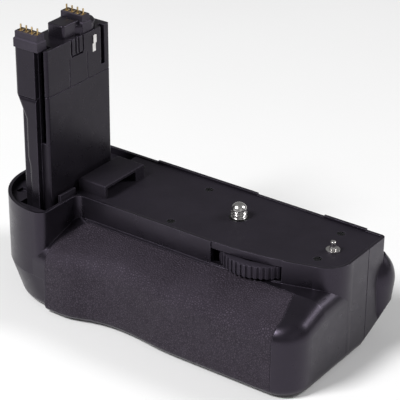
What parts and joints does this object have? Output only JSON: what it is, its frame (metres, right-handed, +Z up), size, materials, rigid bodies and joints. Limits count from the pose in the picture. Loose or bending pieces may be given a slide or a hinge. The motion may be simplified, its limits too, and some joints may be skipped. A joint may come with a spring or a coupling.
{
  "type": "camera battery grip",
  "caption": "Battery grip that screws under a camera, with an upright tower for the battery bay, a ribbed lock wheel, a rubber-covered front and a second set of controls.",
  "frame": {"origin": "mouth of the tripod socket in the middle of the underside, straight below the camera screw", "axes": "+Z up out of the deck, +X along the length away from the tower, +Y to the back where the thumb buttons and the magazine are"},
  "size_m": [0.1512, 0.074, 0.1168],
  "materials": {
    "shell": "satin black with a faint purple-grey cast",
    "deck": "matte black",
    "grip_rubber": "black with a fine leather grain",
    "insulator": "fine matte black",
    "gold": "gold plated",
    "steel": "turned and polished",
    "wheel": "satin black",
    "gear": "natural, slightly glossy",
    "button": "soft gloss black",
    "board": "green board",
    "ribbon": "amber film",
    "tray": "dark grey",
    "cell": "dark grey, fine texture",
    "black_screw": "black zinc"
  },
  "bodies": {
    "body": {"battery_chamber": "tray", "body_contacts": "insulator", "bottom_plate": "deck", "bottom_screws": "black_screw", "contact_pads": "gold", "control_cover": "shell", "cover_holder": "deck", "cover_rail": "deck", "deck_plate": "deck", "deck_screws": "black_screw", "dial_axle": "steel", "dial_bracket": "steel", "front_contact_block": "insulator", "front_grip_rubber": "grip_rubber", "front_shell": "shell", "main_circuit_board": "board", "pin_bush": "steel", "pin_spring": "steel", "rear_button_board": "board", "rear_contact_block": "insulator", "rear_shell": "shell", "screw_bush": "steel", "shell_screws": "black_screw", "shutter_bezel": "button", "shutter_spring": "steel", "shutter_switch": "board", "spring_tongue": "steel", "tower_cap": "shell", "tower_housing": "shell", "tower_ribbon": "ribbon", "tower_top_block": "shell", "tripod_plate": "steel", "tripod_socket": "steel", "well_plate": "deck", "wheel_axle": "steel"},
    "camera_screw": {"camera_screw": "steel", "screw_gear": "gear"},
    "lock_wheel": {"lock_wheel": "wheel", "wheel_gear": "gear"},
    "locating_pin": {"locating_pin": "steel"},
    "shutter_button": {"shutter_button": "button"},
    "main_dial": {"main_dial": "wheel"},
    "exposure_lock_button": {"exposure_lock_button": "button"},
    "focus_point_button": {"focus_point_button": "button"},
    "focus_start_button": {"focus_start_button": "button"},
    "power_switch": {"power_switch": "wheel", "power_clip": "steel"},
    "magazine": {"magazine_tray": "tray", "magazine_door": "shell", "battery_cell_left": "cell", "battery_cell_right": "cell", "magazine_contacts": "gold"},
    "magazine_latch": {"magazine_latch": "wheel", "latch_cam": "steel"},
    "front_contact_pins": {"front_contact_pins": "gold"},
    "rear_contact_pins": {"rear_contact_pins": "gold"}
  },
  "joints": [
    {"name": "lock_wheel_spin", "type": "hinge", "parent": "body", "child": "lock_wheel", "pos_m": [0.01786, -0.009, 0.0376], "axis": [0, 0, 1], "continuous": true},
    {"name": "camera_screw_spin", "type": "hinge", "parent": "body", "child": "camera_screw", "pos_m": [0, 0, 0.043], "axis": [0, 0, 1], "continuous": true},
    {"name": "locating_pin_press", "type": "slide", "parent": "body", "child": "locating_pin", "axis": [0, 0, -1], "range_m": [0, 0.003], "stiffness_N_per_m": 400, "deforming": ["pin_spring"]},
    {"name": "shutter_press", "type": "slide", "parent": "body", "child": "shutter_button", "axis": [0.9543, 0, 0.299], "range_m": [0, 0.0014], "stiffness_N_per_m": 700},
    {"name": "main_dial_spin", "type": "hinge", "parent": "body", "child": "main_dial", "pos_m": [-0.0862, -0.004, 0.00901], "axis": [0, 1, 0], "continuous": true},
    {"name": "exposure_lock_press", "type": "slide", "parent": "body", "child": "exposure_lock_button", "axis": [0, -1, 0], "range_m": [0, 0.00075], "stiffness_N_per_m": 1500},
    {"name": "focus_point_press", "type": "slide", "parent": "body", "child": "focus_point_button", "axis": [0, -1, 0], "range_m": [0, 0.00075], "stiffness_N_per_m": 1500},
    {"name": "focus_start_press", "type": "slide", "parent": "body", "child": "focus_start_button", "axis": [0, -1, 0], "range_m": [0, 0.00075], "stiffness_N_per_m": 1500},
    {"name": "power_switch_turn", "type": "hinge", "parent": "body", "child": "power_switch", "pos_m": [-0.0799, 0.02, 0.01], "axis": [0, 1, 0], "range_deg": [0, 40]},
    {"name": "magazine_slide", "type": "slide", "parent": "body", "child": "magazine", "axis": [0, 1, 0], "range_m": [0, 0.04]},
    {"name": "magazine_latch_turn", "type": "hinge", "parent": "magazine", "child": "magazine_latch", "pos_m": [-0.0107, 0.0219, 0.0181], "axis": [0, -1, 0], "range_deg": [0, 90]},
    {"name": "front_contacts_press", "type": "slide", "parent": "body", "child": "front_contact_pins", "axis": [0, 0, -1], "range_m": [0, 0.0015], "stiffness_N_per_m": 300},
    {"name": "rear_contacts_press", "type": "slide", "parent": "body", "child": "rear_contact_pins", "axis": [0, 0, -1], "range_m": [0, 0.0015], "stiffness_N_per_m": 300}
  ],
  "couplings": [
    {"joint": "camera_screw_spin", "follows": "lock_wheel_spin", "ratio": -1.5}
  ]
}
